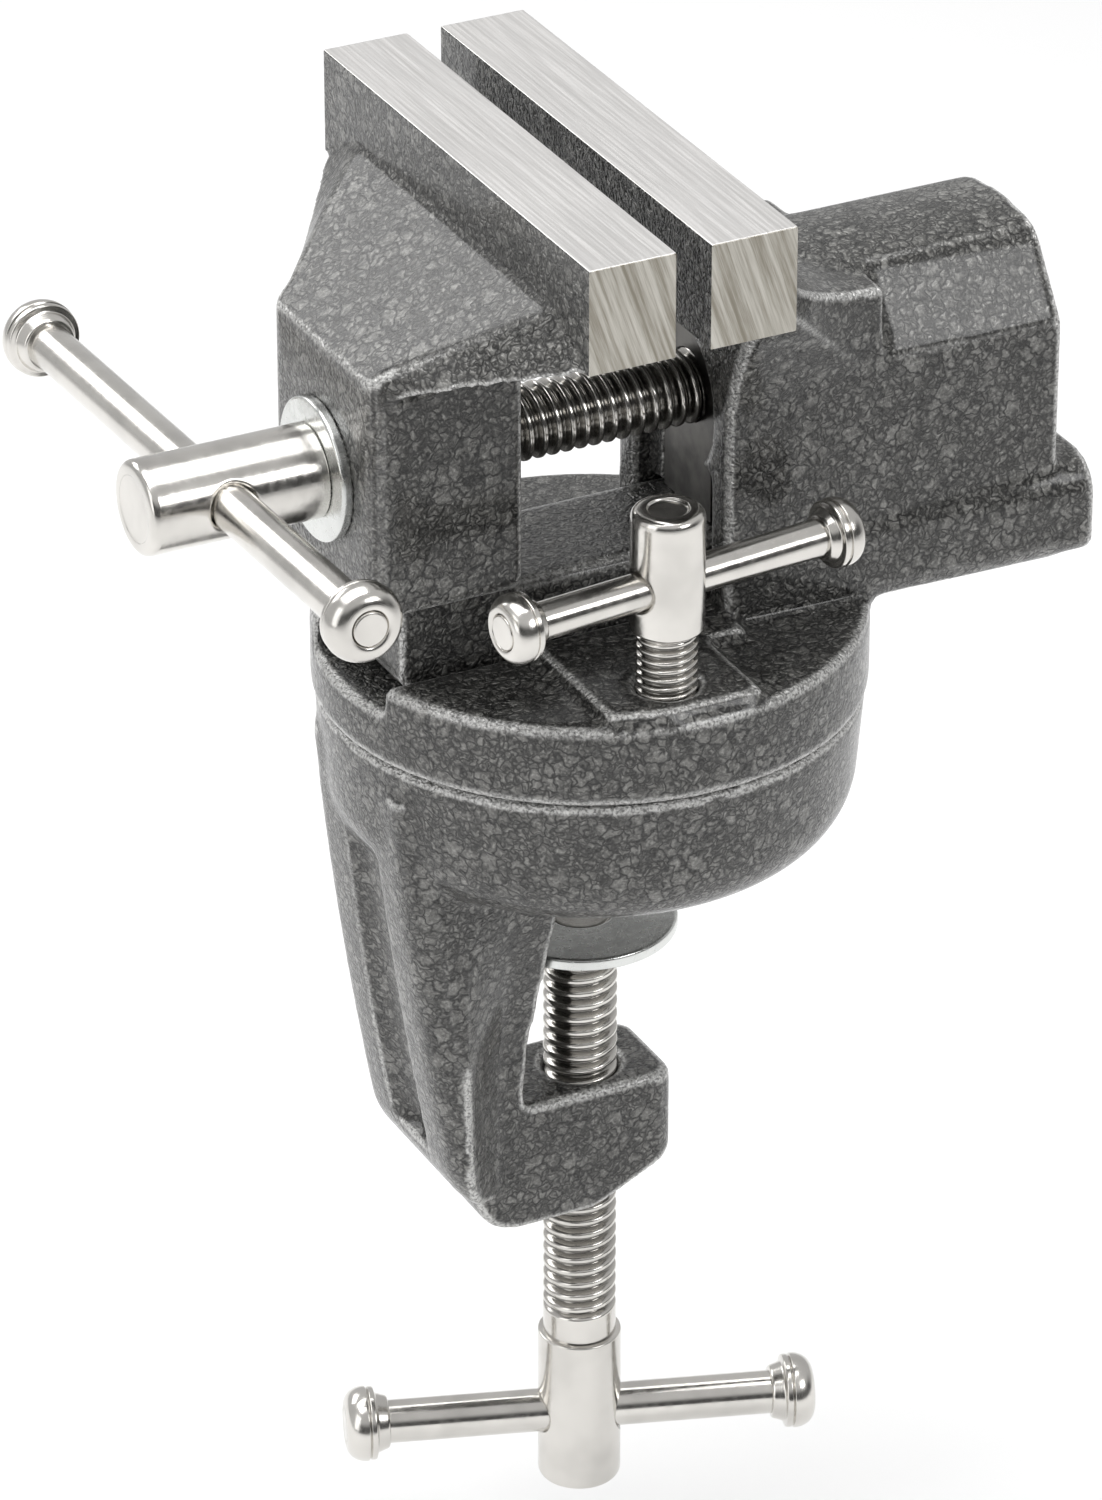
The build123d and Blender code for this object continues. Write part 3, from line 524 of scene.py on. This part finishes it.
def thread_line(points, pitch):
    """Cuts a line of (along, radius) corners into steps of an eleventh of the pitch."""
    along = np.concatenate([np.arange(points[0, 0], points[-1, 0], pitch / 11), points[-1:, 0]])
    return np.column_stack([along, np.interp(along, points[:, 0], points[:, 1])])


def thread_cut(pitch, depth, first, last, runout):
    """A change of radius that cuts a right-hand thread between two places along the axis.

    The phase is the place along the axis in pitches, less the angle in turns. The groove is deepest at
    a whole phase and its flanks are smooth steps. It fades in and out over the runout.
    """
    crest_share, flank_share = 0.22, 0.62

    def cut(along, angle, radius):
        phase = (along / pitch - angle / (2 * np.pi)) % 1
        step = np.clip((np.abs(2 * phase - 1) - crest_share) / flank_share, 0, 1)
        fade = np.clip((along - first) / runout, 0, 1) * np.clip((last - along) / runout, 0, 1)
        return radius - depth * fade * step ** 2 * (3 - 2 * step)

    return cut


def threaded_shank(name, start, way, corners, around, pitch, depth, first, last, runout, body, cad_node):
    """A plated shank along (along, radius) corners, with a thread cut between two places on it.

    How deep each point lies below the crest, from 0 to 1, is kept as its groove value.
    """
    corners = np.array(corners, float)
    piece = turned(name, start, way, thread_line(corners, pitch), around,
                   shape_radius=thread_cut(pitch, depth, first, last, runout))
    points = mesh_points(piece.data) - start
    off = np.linalg.norm(points - (points @ way)[:, None] * way, axis=1)
    keep_value(piece, "groove", np.clip((corners[:, 1].max() - off) / depth, 0, 1))
    finish(piece, nickel, body, "plated", cad_node)


main_hub_start = on_axis(main_cross, 0, main_foot)
cross_drilled_hub("main_hub", main_hub_start, along_x,
                  hub_profile(main_hub_length, main_hub_radius, 1.2 * mm, 4.6 * mm, 0.12 * mm), 144,
                  main_cross, main_bar_way, bar_hole, "screw_spindle", "main_screw")
main_shank_length = main_tip - main_shank
threaded_shank("main_thread", on_axis(main_cross, 0, main_shank), along_x,
               [(0, screw_radius), (main_shank_length - tip_bevel, screw_radius),
                (main_shank_length, screw_radius - tip_bevel)], 56, screw_pitch, 1.05 * mm,
               main_plain_neck, main_shank_length + screw_pitch, 1.2 * mm, "screw_spindle", "main_screw")
thrust_washer = turned("thrust_washer_zinc", on_axis(main_cross, 0, washer_low), along_x, rounded_line([
    (0.7 * mm, washer_bore, 0), (0, washer_bore, 0.15 * mm), (0, washer_radius, 0.45 * mm),
    (washer_thickness, washer_radius, 0.25 * mm), (washer_thickness, washer_bore, 0.15 * mm),
    (0.8 * mm, washer_bore, 0)]), ring=True)
finish(thrust_washer, zinc, "screw_spindle", "zinc", "thrust_washer")

# Handles ---------------------------------------------------------------------------------------------
# Each handle is a plated bar that slides in its hub, with a turned knob riveted on each end. The bar's
# reduced end fills the knob's bore and shows as a small flat disc in the middle of the knob's face.

rivet = 2.3 * mm
bar_radius, knob_radius, knob_thickness = 3 * mm, 5.2 * mm, 6 * mm
main_bar_slid, main_bar_length = 6.0 * mm, 97.0 * mm


def knob_profile(radius, thickness):
    """The line of a knob round its bore, from the outer face inwards: a dome that falls to the full
    radius, a fine groove, a narrow rim, and a hollow step down to the bar."""
    half = thickness / 2
    waist = 0.1 * half
    bore, crown = rivet + 0.03 * mm, rivet + 0.55 * mm
    turn = np.linspace(0, np.pi / 2, 16)
    dome = np.column_stack([waist + (half - waist) * np.cos(turn), crown + (radius - crown) * np.sin(turn)])
    face = rounded_line([(half - 0.8 * mm, bore, 0), (half - 0.42 * mm, bore, 0.06 * mm),
                         (half - 0.12 * mm, rivet + 0.22 * mm, 0.1 * mm), (half, crown, 0)])
    rim = waist - 0.3 * mm
    back = rounded_line([(waist - 0.1 * mm, radius, 0), (rim, radius - 0.02 * mm, 0.08 * mm),
                         (rim - 0.18 * mm, radius - 0.38 * mm, 0.06 * mm),
                         (rim - 0.36 * mm, radius - 0.1 * mm, 0.1 * mm),
                         (rim - 1.1 * mm, radius - 0.14 * mm, 0.25 * mm),
                         (rim - 1.25 * mm, radius - 1.0 * mm, 0.2 * mm),
                         (-half, radius - 1.6 * mm, 0.35 * mm), (-half, bore, 0.1 * mm),
                         (-half + 0.5 * mm, bore, 0)])
    return np.concatenate([face[:-1], dome, back])


def handle(names, body, middle, way, slid, length, radius, knob_radius, knob_thickness, nodes):
    """The bar and two knobs of one handle, at its rest place."""
    start = middle + way * (slid - length / 2 - knob_thickness / 2)
    whole = length + knob_thickness
    shoulder = knob_thickness - 0.2 * mm
    line = rounded_line([(0, 0.05 * mm, 0), (0, rivet, 0.3 * mm), (shoulder, rivet, 0),
                         (shoulder, radius, 0.1 * mm), (whole - shoulder, radius, 0.1 * mm),
                         (whole - shoulder, rivet, 0), (whole, rivet, 0.3 * mm), (whole, 0.05 * mm, 0)])
    finish(turned(names[0], start, way, line, 72), nickel, body, "plated", nodes[0])
    for name, cad_node, sign in zip(names[1:], nodes[1:], (-1, 1)):
        place = middle + way * (slid + sign * length / 2)
        knob = turned(name, place, way * sign, knob_profile(knob_radius, knob_thickness), 80, ring=True)
        finish(knob, nickel, body, "plated", cad_node)


handle(("main_handle_bar", "main_handle_knob_near", "main_handle_knob_far"), "main_handle",
       main_cross, main_bar_way, main_bar_slid, main_bar_length, bar_radius, knob_radius, knob_thickness,
       ("main_bar", "main_knob_near", "main_knob_far"))

# Lock screw ------------------------------------------------------------------------------------------
# A small T-handled screw through the disc that bears on the base and locks the swivel. Its plated head
# is turned, with a shallow dish in its top.

up = np.array([0, 0, 1.0])
lock_cross = np.array(joints["lock_turn"]["pos_m"])
lock_bar_way = -np.array(joints["lock_handle_slide"]["axis"])
lock_tip, lock_top = (corner.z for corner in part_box("lock_screw"))
lock_head_length, lock_head_radius = 16.8 * mm, 4.8 * mm
lock_hole = 2.7 * mm
lock_thread_radius, lock_pitch, lock_bevel = 4 * mm, 1.25 * mm, 0.9 * mm
lock_bar_radius, lock_knob_radius, lock_knob_thickness = 2.5 * mm, 4.6 * mm, 5.2 * mm
lock_bar_slid, lock_bar_length = 1.7 * mm, 47.8 * mm

cross_drilled_hub("lock_head", on_axis(lock_cross, 2, lock_top), -up,
                  hub_profile(lock_head_length, lock_head_radius, 1.5 * mm, 2.8 * mm, 0.4 * mm), 120,
                  lock_cross, lock_bar_way, lock_hole, "lock_spindle", "lock_screw")
lock_shank = lock_top - lock_head_length + 0.2 * mm - lock_tip
threaded_shank("lock_thread", on_axis(lock_cross, 2, lock_tip), up,
               [(0, lock_thread_radius - lock_bevel), (lock_bevel, lock_thread_radius),
                (lock_shank, lock_thread_radius)], 64, lock_pitch, 0.62 * mm, -2 * mm,
               lock_shank - 0.55 * mm, 0.6 * mm, "lock_spindle", "lock_screw")
handle(("lock_handle_bar", "lock_handle_knob_left", "lock_handle_knob_right"), "lock_handle",
       lock_cross, lock_bar_way, lock_bar_slid, lock_bar_length, lock_bar_radius, lock_knob_radius,
       lock_knob_thickness, ("lock_bar", "lock_knob_left", "lock_knob_right"))

# Clamp screw and pad ---------------------------------------------------------------------------------
# The screw under the table: a drilled hub, a short plain collar, a 10 mm thread, and a neck riveted into
# a round zinc-plated pad that stays still while the screw turns.

clamp_cross = np.array(joints["clamp_turn"]["pos_m"])
clamp_bar_way = np.array(joints["clamp_handle_slide"]["axis"])
clamp_foot, clamp_top = (corner.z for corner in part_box("clamp_screw"))
clamp_hub_length, clamp_hub_radius = 23.4 * mm, 5.7 * mm
clamp_bar_length = 59.1 * mm
clamp_collar, clamp_bevel = 4.2 * mm, 0.9 * mm
pad_low, pad_high = (corner.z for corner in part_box("clamp_pad"))
pad_thickness = pad_high - pad_low
pad_radius, pad_boss, pad_bore, pad_recess = 13 * mm, 4.7 * mm, 3.25 * mm, 4.4 * mm
boss_height, recess_floor = 2.4 * mm, 3.1 * mm
neck_low = pad_low - 0.3 * mm
neck_radius, rivet_radius, rivet_low = 3.2 * mm, 4.1 * mm, 3.45 * mm
neck_length = clamp_top - neck_low

cross_drilled_hub("clamp_hub", on_axis(clamp_cross, 2, clamp_foot), up,
                  hub_profile(clamp_hub_length, clamp_hub_radius, 0.9 * mm), 144,
                  clamp_cross, clamp_bar_way, bar_hole, "clamp_spindle", "clamp_screw")
clamp_shank = clamp_foot + clamp_hub_length - 0.2 * mm
clamp_shank_length = neck_low + 0.1 * mm - clamp_shank
threaded_shank("clamp_thread", on_axis(clamp_cross, 2, clamp_shank), up,
               [(0, screw_radius), (clamp_shank_length - clamp_bevel, screw_radius),
                (clamp_shank_length, screw_radius - clamp_bevel)], 64, screw_pitch, 1.0 * mm,
               clamp_collar, clamp_shank_length + screw_pitch, 0.8 * mm, "clamp_spindle", "clamp_screw")
clamp_neck = turned("clamp_neck", on_axis(clamp_cross, 2, neck_low), up, rounded_line([
    (0, 0.05 * mm, 0), (0, neck_radius, 0.1 * mm), (rivet_low, neck_radius, 0),
    (rivet_low, rivet_radius, 0.1 * mm), (neck_length, rivet_radius, 0.45 * mm),
    (neck_length, 0.05 * mm, 0)]))
finish(clamp_neck, nickel, "clamp_spindle", "plated", "clamp_screw")
clamp_pad = turned("clamp_pad_zinc", on_axis(clamp_cross, 2, pad_low), up, rounded_line([
    (1.0 * mm, pad_bore, 0), (0, pad_bore, 0.15 * mm), (0, pad_boss, 0.4 * mm),
    (boss_height, pad_boss, 0.5 * mm), (boss_height, pad_radius, 0.35 * mm),
    (pad_thickness, pad_radius, 0.5 * mm), (pad_thickness, pad_recess, 0.2 * mm),
    (recess_floor, pad_recess, 0.1 * mm), (recess_floor, pad_bore, 0.05 * mm),
    (1.1 * mm, pad_bore, 0)]), ring=True)
finish(clamp_pad, zinc, "pad", "zinc", "clamp_pad")
handle(("clamp_handle_bar", "clamp_handle_knob_left", "clamp_handle_knob_right"), "clamp_handle",
       clamp_cross, clamp_bar_way, 0, clamp_bar_length, bar_radius, knob_radius, knob_thickness,
       ("clamp_bar", "clamp_knob_left", "clamp_knob_right"))

# Inner fittings --------------------------------------------------------------------------------------
# The nut, its grub screw, the retaining ring, the swivel bolt and its spring washer sit inside the
# castings. They are plain steel parts, blackened or oiled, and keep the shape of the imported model.

steel_dark, steel_light = (0.055, 0.053, 0.05, 1), (0.16, 0.155, 0.145, 1)


def dark_steel():
    """Blackened steel with a thin, uneven film of oil."""
    material, nodes, shader = new_material("dark_steel")
    place = node(nodes, "ShaderNodeTexCoord").outputs["Object"]
    film = noise(nodes, place, 260.0, 4.0)
    grain = noise(nodes, place, 1800.0, 2.0)
    feed(shader, {"Base Color": blend(nodes, band(nodes, film, 0.3, 0.7), steel_dark, steel_light),
                  "Roughness": band(nodes, film, 0.3, 0.7, 0.28, 0.45),
                  "Normal": bump(nodes, grain, 0.25, 0.05 * mm), "Metallic": 1.0})
    return material


oiled_steel = dark_steel()
for name in ("main_nut", "nut_grub_screw", "retaining_ring", "swivel_bolt", "swivel_washer"):
    fitting = frame["nodes"][name]
    fitting.data.materials.clear()
    fitting.data.materials.append(oiled_steel)

# Studio ----------------------------------------------------------------------------------------------
# A white floor just below the lowest place the clamp screw reaches, a large soft lamp overhead,
# smaller ones on the left, at the back and at the right, and a pale room, dark on the camera's side.

floor_height, floor_half = -125 * mm, 3.0
room_pale, room_dark = (0.62, 0.62, 0.62, 1), (0.08, 0.08, 0.08, 1)
paper_white, paper_rough = (0.9, 0.9, 0.9, 1), 0.9

floor_mesh = bpy.data.meshes.new("floor")
floor_mesh.from_pydata([(x * floor_half, y * floor_half, floor_height)
                        for x, y in ((-1, -1), (1, -1), (1, 1), (-1, 1))], [], [(0, 1, 2, 3)])
floor = add("floor", floor_mesh)
paper, _, paper_shader = new_material("white_paper")
feed(paper_shader, {"Base Color": paper_white, "Roughness": paper_rough})
floor_mesh.materials.append(paper)


def stand(holder, place, side, upward, back):
    """Puts a lamp or camera at a place, with its own X, Y and Z along three directions."""
    turn = Matrix(np.column_stack([side, upward, back]).tolist())
    holder.matrix_world = Matrix.Translation(place) @ turn.to_4x4()


def soft_lamp(name, place, size, power):
    """An oblong lamp that faces the middle of the vise."""
    lamp = bpy.data.lights.new(name, "AREA")
    lamp.shape = "RECTANGLE"
    lamp.size, lamp.size_y = size
    lamp.energy = power
    back = np.array(place) / np.linalg.norm(place)
    side = np.cross([0, 1, 0] if abs(back[2]) > 0.9 else [0, 0, 1], back)
    side /= np.linalg.norm(side)
    stand(add(name, lamp), place, side, np.cross(back, side), back)


soft_lamp("overhead_lamp", (-0.12, 0.05, 0.9), (0.9, 0.7), 7.0)
soft_lamp("left_lamp", (-0.95, -0.25, 0.35), (0.5, 0.8), 1.8)
soft_lamp("right_lamp", (0.36, -0.66, 0.50), (0.35, 0.25), 1.6)
soft_lamp("back_lamp", (-0.30, 0.72, 0.49), (0.5, 0.3), 1.6)

world = bpy.data.worlds.new("room")
bpy.context.scene.world = world
world.use_nodes = True
nodes = world.node_tree.nodes
nodes.clear()
direction = node(nodes, "ShaderNodeTexCoord").outputs["Generated"]
parts = node(nodes, "ShaderNodeSeparateXYZ", {"Vector": direction})
front = band(nodes, parts.outputs["Y"], -0.55, 0.15, 1.0, 0.0)
low = band(nodes, parts.outputs["Z"], 0.25, 0.6, 1.0, 0.0)
room = blend(nodes, combine(nodes, "MULTIPLY", front, low), room_pale, room_dark)
rays = node(nodes, "ShaderNodeLightPath")
shown = blend(nodes, rays.outputs["Is Camera Ray"], room, (1, 1, 1, 1))
background = node(nodes, "ShaderNodeBackground", {"Color": shown, "Strength": 1.0})
node(nodes, "ShaderNodeOutputWorld", {"Surface": background.outputs[0]})

view_turn, view_rise, view_distance = np.radians(26.9), np.radians(28.9), 1.0
view_middle = np.array([0, 0, 3.8]) * mm
view_right, view_up = -5.05 * mm, 4.94 * mm
ahead = np.array([np.sin(view_turn) * np.cos(view_rise), np.cos(view_turn) * np.cos(view_rise),
                  -np.sin(view_rise)])
right = np.array([np.cos(view_turn), -np.sin(view_turn), 0])
upward = np.cross(right, ahead)
camera = bpy.data.cameras.new("camera")
camera.lens, camera.sensor_width = 182.0, 36
camera.clip_start, camera.clip_end = 0.05, 20
holder = add("camera", camera)
stand(holder, view_middle - ahead * view_distance + right * view_right + upward * view_up,
      right, upward, -ahead)
bpy.context.scene.camera = holder
bpy.context.scene.view_settings.view_transform = "Standard"

bpy.context.view_layer.update()
